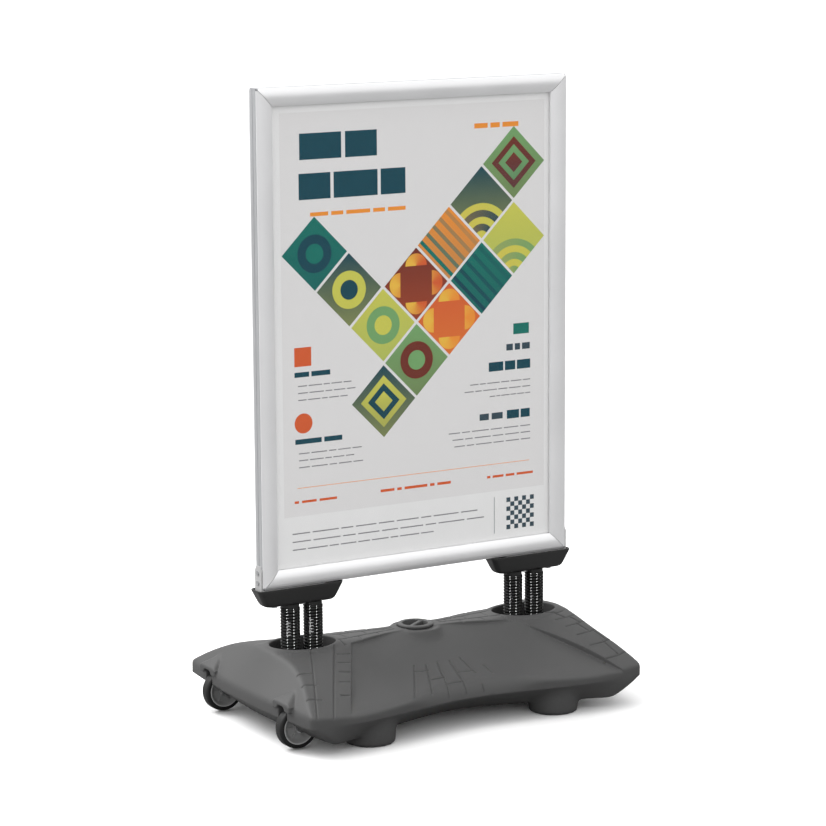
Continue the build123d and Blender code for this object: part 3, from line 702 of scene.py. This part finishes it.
def build_spring(name):
    """A close-wound coil filling the box of its CAD node, with ground flat end turns."""
    low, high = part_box(name)
    centre = (low + high) / 2
    radius = (high.x - low.x) / 2 / MM - WIRE_RADIUS + 1.6
    bottom, top = low.z / MM + WIRE_RADIUS, high.z / MM - WIRE_RADIUS
    around, sides = 40, 10
    turns = (top - bottom) / SPRING_PITCH + 1.4
    total = int(turns * around)
    verts, faces = [], []
    for n in range(total + 1):
        turn = n / around
        angle = 2 * math.pi * turn
        climb = np.clip((turn - 0.7) / (turns - 1.4), 0, 1)
        z = bottom + (top - bottom) * climb
        for k in range(sides):
            tilt = 2 * math.pi * k / sides
            r = radius + WIRE_RADIUS * math.cos(tilt)
            verts.append(
                (
                    centre.x + r * math.cos(angle) * MM,
                    centre.y + r * math.sin(angle) * MM,
                    (z + WIRE_RADIUS * math.sin(tilt)) * MM,
                )
            )
    for n in range(total):
        for k in range(sides):
            k2 = (k + 1) % sides
            faces.append((n * sides + k, n * sides + k2, (n + 1) * sides + k2, (n + 1) * sides + k))
    faces.append(tuple(range(sides)))
    faces.append(tuple(total * sides + k for k in range(sides))[::-1])
    piece = merge(new_object(name.replace("spring", "coil"), verts, faces))
    piece.data.materials.append(FINISH["spring_steel"])
    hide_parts(name)
    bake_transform(piece)
    return piece


# ---- brackets ------------------------------------------------------------------------------------

def build_bracket(name):
    """The black shoe under one lower corner of the frame: a hull with rounded lower ends."""
    low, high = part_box(name)
    middle = (low + high) / 2
    half_x = (high.x - low.x) / 2 / MM + 5.5
    half_y = (high.y - low.y) / 2 / MM
    bottom, top = low.z / MM, high.z / MM
    levels = []
    for share, reach, width in (
        (0.0, 0.765, 0.66),
        (0.03, 0.80, 0.71),
        (0.10, 0.835, 0.76),
        (0.22, 0.865, 0.80),
        (0.45, 0.91, 0.86),
        (0.70, 0.955, 0.93),
        (0.86, 0.985, 0.98),
        (0.95, 1.0, 1.0),
        (1.0, 0.997, 0.99),
    ):
        ring = outline(half_x * reach, half_y * width, 9.0)
        levels.append((ring, bottom + (top - bottom) * share))
    levels.append((outline(half_x - 2.6, half_y - 2.4, 7.0), top))
    levels.append((outline(half_x - 3.0, half_y - 2.8, 6.6), top - 3.0))
    piece = crisp(loft(name.replace("bracket", "shoe"), levels, middle), 50)
    return finish_piece(piece, "panel", "bracket_plastic", FINISH["bracket_plastic"], name)


# ---- wheels --------------------------------------------------------------------------------------

def build_wheel(side):
    """A tyre with rounded shoulders on a dished rim with a thin bright lip."""
    body = "wheel_" + side
    low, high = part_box("tyre_" + side)
    centre = (low + high) / 2
    radius = (high.z - low.z) / 2 / MM
    half = (high.y - low.y) / 2 / MM
    bead = [(27.6, half - 2.0), (29.0, half - 1.0), (29.9, half), (31.4, half - 0.2)]
    corner = 4.5
    for n in range(7):
        angle = math.pi / 2 * n / 6
        out = radius - corner + corner * math.sin(angle)
        bead.append((out, half - 0.2 - corner + corner * math.cos(angle)))
    profile = bead + [(r, -y) for r, y in bead[::-1]]
    tyre = crisp(lathe("tyre_shape_" + side, profile, centre), 50)
    finish_piece(tyre, body, "tyre_rubber", FINISH["tyre_rubber"], "tyre_" + side)
    dish = [
        (4.2, 9.6), (6.6, 9.6), (7.4, 9.0), (7.8, 4.4), (9.0, 3.2), (20.0, 3.2), (22.0, 3.8),
        (25.4, 7.6), (26.6, 9.8), (27.4, 10.4), (28.6, 10.6), (29.2, 10.2), (29.4, 9.0),
    ]
    profile = dish + [(r, -y) for r, y in dish[::-1]]
    hub = crisp(lathe("rim_shape_" + side, profile, centre), 40)
    for n in range(6):
        add_rib(hub, centre, n * math.pi / 3)
    finish_piece(hub, body, "rim_plastic", FINISH["rim_plastic"], "wheel_rim_" + side)
    lip = [(27.5, 10.2), (28.1, 11.0), (29.3, 11.0), (29.8, 10.2), (29.0, 9.6), (28.0, 9.6)]
    for name, sign in (("outer", 1), ("inner", -1)):
        ring = [(r, y * sign) for r, y in lip]
        edge = lathe(f"rim_lip_{name}_{side}", ring, centre)
        finish_piece(edge, body, "rim_plastic", FINISH["rim_lip"])


def add_rib(piece, centre, angle):
    """A low stiffening rib across the dish of a wheel, on both faces."""
    bm = bmesh.new()
    bm.from_mesh(piece.data)
    for sign in (-1, 1):
        corners = []
        for r, w, y in ((8, 1.3, 2.6), (8, 1.3, 5.2), (22, 0.9, 4.8), (22, 0.9, 2.6)):
            for side in (-1, 1):
                x = r * math.cos(angle) - side * w * math.sin(angle)
                z = r * math.sin(angle) + side * w * math.cos(angle)
                place = (centre.x + x * MM, centre.y + sign * y * MM, centre.z + z * MM)
                corners.append(bm.verts.new(place))
        a, b, c, d, e, f, g, h = corners
        for face in ((a, b, d, c), (c, d, f, e), (e, f, h, g), (g, h, b, a), (a, c, e, g), (b, h, f, d)):
            bm.faces.new(face)
    bmesh.ops.recalc_face_normals(bm, faces=bm.faces)
    bm.to_mesh(piece.data)
    bm.free()
    crisp(piece, 40)


# ---- filler cap ----------------------------------------------------------------------------------

def build_cap():
    """The screw cap: a rolled rim round a dish, with a raised finger grip across it."""
    low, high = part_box("filler_cap")
    centre = Vector(((low.x + high.x) / 2, (low.y + high.y) / 2, 0))
    top = high.z / MM
    rim = (high.x - low.x) / 2 / MM
    floor = top - 12.4
    profile = [
        (0.0, floor), (19.6, floor), (21.6, floor + 1.0), (22.4, floor + 3.2), (23.4, top - 1.2),
        (24.6, top), (rim - 1.8, top - 0.2), (rim - 0.4, top - 1.0), (rim, top - 2.4),
        (rim - 0.2, top - 3.9), (25.0, top - 3.9), (25.0, low.z / MM), (0.0, low.z / MM),
    ]
    piece = lathe("cap_shape", profile, centre, "Z", 120)
    bm = bmesh.new()
    bm.from_mesh(piece.data)
    turn = math.radians(35)
    sections = []
    for n in range(15):
        along = -21.8 + 43.6 * n / 14
        flare = 1 + 0.35 * abs(along / 21.8) ** 3
        ring = []
        for across, height in ((-4.4, floor - 0.5), (-3.4, top - 2.6), (-2.2, top - 1.5),
                               (2.2, top - 1.5), (3.4, top - 2.6), (4.4, floor - 0.5)):
            w = across * flare
            x = along * math.cos(turn) - w * math.sin(turn)
            y = along * math.sin(turn) + w * math.cos(turn)
            ring.append(bm.verts.new((centre.x + x * MM, centre.y + y * MM, height * MM)))
        sections.append(ring)
    for one, two in zip(sections[:-1], sections[1:]):
        for k in range(6):
            k2 = (k + 1) % 6
            bm.faces.new((one[k], one[k2], two[k2], two[k]))
    bm.faces.new(sections[0])
    bm.faces.new(sections[-1][::-1])
    bmesh.ops.recalc_face_normals(bm, faces=bm.faces)
    bm.to_mesh(piece.data)
    bm.free()
    crisp(piece, 32)
    return finish_piece(piece, "filler_cap", "cap_plastic", FINISH["cap_plastic"], "filler_cap")


# ---- poster artwork ------------------------------------------------------------------------------

DEEP = rgb(27, 74, 88)
TEAL = rgb(30, 118, 106)
GREEN = rgb(120, 168, 110)
LIME = rgb(206, 205, 92)
YELLOW = rgb(238, 190, 76)
AMBER = rgb(240, 150, 62)
ORANGE = rgb(216, 98, 56)
MAROON = rgb(116, 54, 44)
INK = rgb(60, 78, 88)
SOFT = rgb(140, 140, 142)
GROUND = rgb(228, 227, 227)
LAYER_GAP = 0.018


class Artwork:
    """Flat coloured shapes on one poster face, in millimetres from its visible top left corner."""

    def __init__(self):
        self.verts, self.faces, self.inks = [], [], []

    def shape(self, points, colours, layer):
        """A convex polygon; colours is one colour or one for each point."""
        start = len(self.verts)
        if not isinstance(colours, list):
            colours = [colours] * len(points)
        area = sum(a[0] * b[1] - b[0] * a[1] for a, b in zip(points, points[1:] + points[:1]))
        if area < 0:
            points, colours = points[::-1], colours[::-1]
        self.verts += [(x, y, layer) for x, y in points]
        self.faces.append(tuple(range(start, start + len(points))))
        self.inks += colours

    def box(self, x, y, width, height, colour, layer=1):
        self.shape([(x, y), (x + width, y), (x + width, y + height), (x, y + height)], colour, layer)

    def diamond(self, x, y, half, top, bottom, layer=1):
        side = mix_colour(top, bottom, 0.5)
        points = [(x, y - half), (x + half, y), (x, y + half), (x - half, y)]
        self.shape(points, [top, side, bottom, side], layer)

    def ring(self, x, y, inner, outer, start, end, first, last, layer=1):
        """Part of a ring or disc between two angles in degrees, clockwise from the right."""
        steps = max(6, int(abs(end - start) / 6))
        for n in range(steps):
            a, b = (math.radians(start + (end - start) * k / steps) for k in (n, n + 1))
            near = [(x + r * math.cos(t), y + r * math.sin(t)) for t in (a, b) for r in (inner, outer)]
            tone = [mix_colour(first, last, 0.5 - 0.5 * math.cos(t)) for t in (a, b)]
            points = [near[0], near[1], near[3], near[2]]
            inks = [tone[0], tone[0], tone[1], tone[1]]
            if inner == 0:
                points, inks = points[:3], inks[:3]
            self.shape(points, inks, layer)

    def line(self, x0, y0, x1, y1, width, colour, layer=1):
        run = Vector((x1 - x0, y1 - y0)).normalized() * width / 2
        points = [
            (x0 - run.y, y0 + run.x),
            (x1 - run.y, y1 + run.x),
            (x1 + run.y, y1 - run.x),
            (x0 + run.y, y0 - run.x),
        ]
        self.shape(points, colour, layer)

    def greeked(self, x, y, width, height, colour, pieces, gap=0.16):
        """A row of plain blocks that stands for a line of print."""
        total = sum(pieces) + gap * (len(pieces) - 1)
        unit = width / total
        for piece in pieces:
            self.box(x, y, piece * unit, height, colour)
            x += (piece + gap) * unit


def mix_colour(a, b, share):
    return tuple(p * (1 - share) + q * share for p, q in zip(a, b))


def draw_heading(art):
    """The ground tone and plain bars where a print has its heading."""
    art.box(17, 13, 547, 716, GROUND, 0)
    art.greeked(56, 50, 156, 46, DEEP, [1.3, 1.0], 0.12)
    art.greeked(54, 120, 216, 46, DEEP, [1.0, 1.4, 0.8], 0.1)
    art.greeked(76, 189, 194, 7, AMBER, [3, 2, 4, 2, 3], 0.5)
    art.greeked(414, 50, 94, 9, AMBER, [2, 1.4, 2.4], 0.4)


TILE = 69.0
TILE_TONES = (TEAL, ORANGE, GREEN, DEEP, AMBER, MAROON, LIME)


def draw_tile(art, x, y, kind, tone, other):
    """One diamond tile carrying a plain figure: a disc, rings, nested diamonds, stripes or a fan."""
    half = 0.95 * TILE
    art.diamond(x, y, half, tone, mix_colour(tone, other, 0.35))
    if kind == 0:
        art.ring(x, y, 0, 0.52 * half, 0, 360, other, other, 2)
        art.ring(x, y, 0, 0.27 * half, 0, 360, tone, tone, 3)
    elif kind == 1:
        for n, share in enumerate((0.72, 0.5, 0.28)):
            inner = other if n % 2 == 0 else tone
            art.diamond(x, y, share * half, inner, mix_colour(inner, DEEP, 0.3), 2 + n)
    elif kind == 2:
        for n in range(5):
            outer = (0.98 - 0.19 * n) * half
            band = other if n % 2 == 0 else tone
            art.ring(x, y + half, 0, outer, 225, 315, band, mix_colour(band, YELLOW, 0.25), 2 + n)
    elif kind == 3:
        for n in range(5):
            shift = (n - 2) * 0.2 * half
            reach = 0.5 * half
            start = (x - reach + shift, y - reach - shift)
            end = (x + reach + shift, y + reach - shift)
            art.line(*start, *end, 0.11 * half, mix_colour(other, tone, 0.15 * n), 2)
    else:
        for quarter in range(4):
            turn = 90 * quarter
            hub = (x + 0.5 * half * math.cos(math.radians(turn)),
                   y + 0.5 * half * math.sin(math.radians(turn)))
            art.ring(*hub, 0, 0.34 * half, turn - 90, turn + 90, other, YELLOW, 2)


def draw_tiles(art):
    """A regular lattice of diamond tiles crossing the sheet."""
    for row in range(-2, 5):
        for column in range(0, 7):
            on_band = row + column in (4, 6) and column > 1
            if not (on_band or row == column and row < 2):
                continue
            x = 84 + TILE * column
            y = 262 + TILE * row
            kind = (2 * column + 3 * row) % 5
            tone = TILE_TONES[(column + 2 * row) % 7]
            other = TILE_TONES[(column + 2 * row + 3) % 7]
            draw_tile(art, x, y, kind, tone, other)


def draw_text(art):
    """Plain bars and marks where a print has its small headings and lines."""
    art.box(41, 426, 34, 34, ORANGE)
    art.greeked(41, 470, 72, 9, DEEP, [1, 1.3])
    art.ring(58, 562, 0, 18, 0, 360, ORANGE, ORANGE, 2)
    art.greeked(41, 590, 95, 9, DEEP, [1.6, 1.1])
    for y, widths in ((494, (108, 116, 100)), (615, (128, 112, 130))):
        for n, width in enumerate(widths):
            art.greeked(48, y + 12.5 * n, width, 2.0, SOFT, [2, 3, 1.4, 2.4, 1.8], 0.35)
    art.box(497, 420, 34, 20, TEAL)
    art.greeked(482, 457, 51, 12, INK, [1, 0.8, 1.2], 0.3)
    art.greeked(444, 488, 90, 17, DEEP, [1.4, 1.0, 1.3])
    art.greeked(424, 582, 50, 12, INK, [1, 1.2], 0.3)
    art.greeked(483, 580, 50, 16, DEEP, [1.2, 0.9])
    for y, widths in ((525, (130, 142, 88)), (611, (176, 168, 164))):
        for n, width in enumerate(widths):
            art.greeked(534 - width, y + 12.5 * n, width, 2.0, SOFT, [2, 1.4, 3, 2, 2.6, 1.8], 0.35)
    art.line(44, 678, 532, 678, 1.0, AMBER)
    art.greeked(38, 701, 86, 4.5, ORANGE, [0.6, 2, 2.4], 0.4)
    art.greeked(214, 699, 148, 5, ORANGE, [3, 1, 5, 1, 3], 0.6)
    art.greeked(440, 699, 100, 4.5, ORANGE, [0.6, 2, 1.6, 3], 0.4)
    for n, width in enumerate((386, 400, 292)):
        art.greeked(33, 759 + 14.5 * n, width, 2.2, SOFT, [2, 3, 1.4, 2.4, 1.8, 2.6, 1.2, 3, 2], 0.3)
    art.line(455.5, 740, 455.5, 809, 1.0, INK)
    for row in range(7):
        for column in range(7):
            if (row + column) % 2 == 0:
                art.box(482 + 8.6 * column, 744 + 8.6 * row, 8.6, 8.6, INK)


def build_poster(side, facing):
    """The printed pattern as one thin sheet of flat shapes just in front of a poster."""
    low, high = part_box("poster_" + side)
    core_low, core_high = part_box("frame_core_left")
    rail_low, rail_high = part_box("snap_front_left")
    left = rail_high.x
    top = core_high.z + 0.00045 - (rail_high.x - rail_low.x)
    front = low.y if facing < 0 else high.y
    art = Artwork()
    draw_heading(art)
    draw_tiles(art)
    draw_text(art)
    verts = []
    for x, y, layer in art.verts:
        depth = front + facing * (0.01 + LAYER_GAP * layer * 0.8) * MM
        verts.append((-facing * (left + x * MM), depth, top - y * MM))
    mesh = bpy.data.meshes.new("artwork_" + side)
    mesh.from_pydata(verts, [], art.faces)
    ink = mesh.color_attributes.new("ink", "FLOAT_COLOR", "POINT")
    ink.data.foreach_set("color", [c for colour in art.inks for c in colour])
    mesh.update()
    piece = bpy.data.objects.new("artwork_" + side, mesh)
    bpy.context.scene.collection.objects.link(piece)
    return finish_piece(piece, "panel", "poster_print", FINISH["poster_print"])


# ---- assembly ------------------------------------------------------------------------------------

SIDES = ("left", "right")
FACES = ("front", "back")

tank = build_tank()
finish_piece(tank, "base", "tank_plastic", FINISH["tank_plastic"], "base_tank")
for side in SIDES:
    for end in SIDES:
        build_spring(f"spring_{side}_{end}")
    build_bracket("bracket_" + side)
    dress("spring_plugs_" + side, "plug_black", 0.6)
    for name in ("spring_anchor", "anchor_bolts", "bracket_strap", "plug_bolts", "frame_bolts"):
        dress(f"{name}_{side}", "zinc_steel", 0.3)
    for name in ("bracket_spacers", "corner_screws"):
        dress(f"{name}_{side}", "zinc_steel", 0.3)
    dress("threaded_inserts_" + side, "insert_brass")
    dress("corner_plate_" + side, "corner_plate_grey", 0.5)
for side in FACES:
    build_wheel(side)
    dress("axle_" + side, "zinc_steel", 0.4)
    dress("axle_washers_" + side, "zinc_steel", 0.3)
    dress("leaf_springs_" + side, "leaf_steel")
    dress("poster_" + side, "poster_print", material="paper")
    dress("cover_" + side, "cover_clear")
    for edge in ("top", "bottom", "left", "right"):
        dress(f"snap_{side}_{edge}", "frame_aluminium", 0.35)
for edge in ("top", "bottom", "left", "right"):
    dress("frame_core_" + edge, "frame_aluminium", 0.2, "core_aluminium")
dress("corner_keys", "key_diecast", 0.3)
dress("backing_panel", "backing_white")
dress("cap_seal", "seal_rubber", 0.5)
build_cap()
build_poster("front", -1)
build_poster("back", 1)


# ---- floor, light and camera ---------------------------------------------------------------------

def soften_bounce(material, share):
    """Lets a material give back only a share of its light to other pieces, as black cards would."""
    tree = material.node_tree
    entry = tree.nodes["Principled BSDF"].inputs["Base Color"]
    path = tree.nodes.new("ShaderNodeLightPath")
    level = tree.nodes.new("ShaderNodeMapRange")
    level.inputs["To Min"].default_value = share
    link(tree, path, "Is Camera Ray", level, "Value")
    scale = tree.nodes.new("ShaderNodeVectorMath")
    scale.operation = "SCALE"
    tree.links.new(entry.links[0].from_socket, scale.inputs[0])
    link(tree, level, "Result", scale, "Scale")
    tree.links.new(scale.outputs["Vector"], entry)


def build_floor():
    """A pale floor that runs far behind the sign."""
    span, cells = 60.0, 24
    verts = [
        (span * (i / cells - 0.5), span * (j / cells - 0.5), 0.0)
        for j in range(cells + 1)
        for i in range(cells + 1)
    ]
    faces = []
    for j in range(cells):
        for i in range(cells):
            a = j * (cells + 1) + i
            faces.append((a, a + 1, a + cells + 2, a + cells + 1))
    floor = new_object("floor", verts, faces)
    paint = surface("floor_paint", (0.95, 0.95, 0.95, 1), 0.8, 40, 0.01, 0.01)
    soften_bounce(paint, 0.3)
    floor.data.materials.append(paint)


def studio_world():
    """A white surround, brighter overhead and to the left than low on the right."""
    world = bpy.data.worlds.new("studio")
    world.use_nodes = True
    tree = world.node_tree
    shade = tree.nodes["Background"]
    place = tree.nodes.new("ShaderNodeTexCoord")
    lean = tree.nodes.new("ShaderNodeVectorMath")
    lean.operation = "DOT_PRODUCT"
    lean.inputs[1].default_value = Vector(WORLD_LEAN).normalized()
    link(tree, place, "Generated", lean, 0)
    level = tree.nodes.new("ShaderNodeMapRange")
    level.inputs["From Min"].default_value = -1.0
    level.inputs["To Min"].default_value = WORLD_DIM
    level.inputs["To Max"].default_value = WORLD_BRIGHT
    link(tree, lean, "Value", level, "Value")
    link(tree, level, "Result", shade, "Strength")
    seen = tree.nodes.new("ShaderNodeBackground")
    path = tree.nodes.new("ShaderNodeLightPath")
    mix = tree.nodes.new("ShaderNodeMixShader")
    link(tree, path, "Is Camera Ray", mix, "Fac")
    link(tree, shade, "Background", mix, 1)
    link(tree, seen, "Background", mix, 2)
    seen.inputs["Color"].default_value = (1, 1, 1, 1)
    shade.inputs["Color"].default_value = (1, 1, 1, 1)
    link(tree, mix, "Shader", tree.nodes["World Output"], "Surface")
    return world


def area_light(name, place, target, size, power):
    """A soft square light aimed at a point."""
    data = bpy.data.lights.new(name, "AREA")
    data.shape = "RECTANGLE"
    data.size, data.size_y = size
    data.energy = power
    lamp = bpy.data.objects.new(name, data)
    bpy.context.scene.collection.objects.link(lamp)
    lamp.location = place
    aim = Vector(target) - Vector(place)
    lamp.rotation_euler = aim.to_track_quat("-Z", "Y").to_euler()
    return lamp


WORLD_LEAN = (-0.3, 0.0, 0.9)
WORLD_DIM = 0.5
WORLD_BRIGHT = 1.6


build_floor()
scene = bpy.context.scene
scene.view_settings.view_transform = "Standard"
scene.world = studio_world()
box_low, box_high = Vector(cad_box[0]), Vector(cad_box[1])
middle = (box_low + box_high) / 2
area_light("key", (-4.2, 0.6, 3.2), middle, (2.4, 2.4), 12)
area_light("overhead", (-0.8, 0.3, 4.8), middle, (3.0, 3.0), 40)
area_light("back", (-2.6, 2.6, 3.9), middle, (2.6, 2.6), 170)
shine = bpy.data.collections.new("shine")
for item in scene.collection.objects:
    if item.name.startswith("coil_"):
        shine.objects.link(item)
for name, place in (("strip_left", (-2.81, -1.05, 1.2)), ("strip_right", (0.44, -2.97, 1.2))):
    lamp = area_light(name, place, (0, 0, 0.6), (0.26, 3.0), 1300)
    lamp.light_linking.receiver_collection = shine

camera_data = bpy.data.cameras.new("camera")
camera_data.sensor_width = 36
camera_data.lens = 132.58
camera_data.clip_end = 100
camera = bpy.data.objects.new("camera", camera_data)
scene.collection.objects.link(camera)
turn = Matrix.Rotation(math.radians(-30.566), 4, "Z")
tilt = Matrix.Rotation(math.radians(90 - 10.411), 4, "X")
roll = Matrix.Rotation(math.radians(-0.343), 4, "Z")
camera.matrix_world = Matrix.Translation((-2.749263, -4.652369, 1.534973)) @ turn @ tilt @ roll
scene.camera = camera
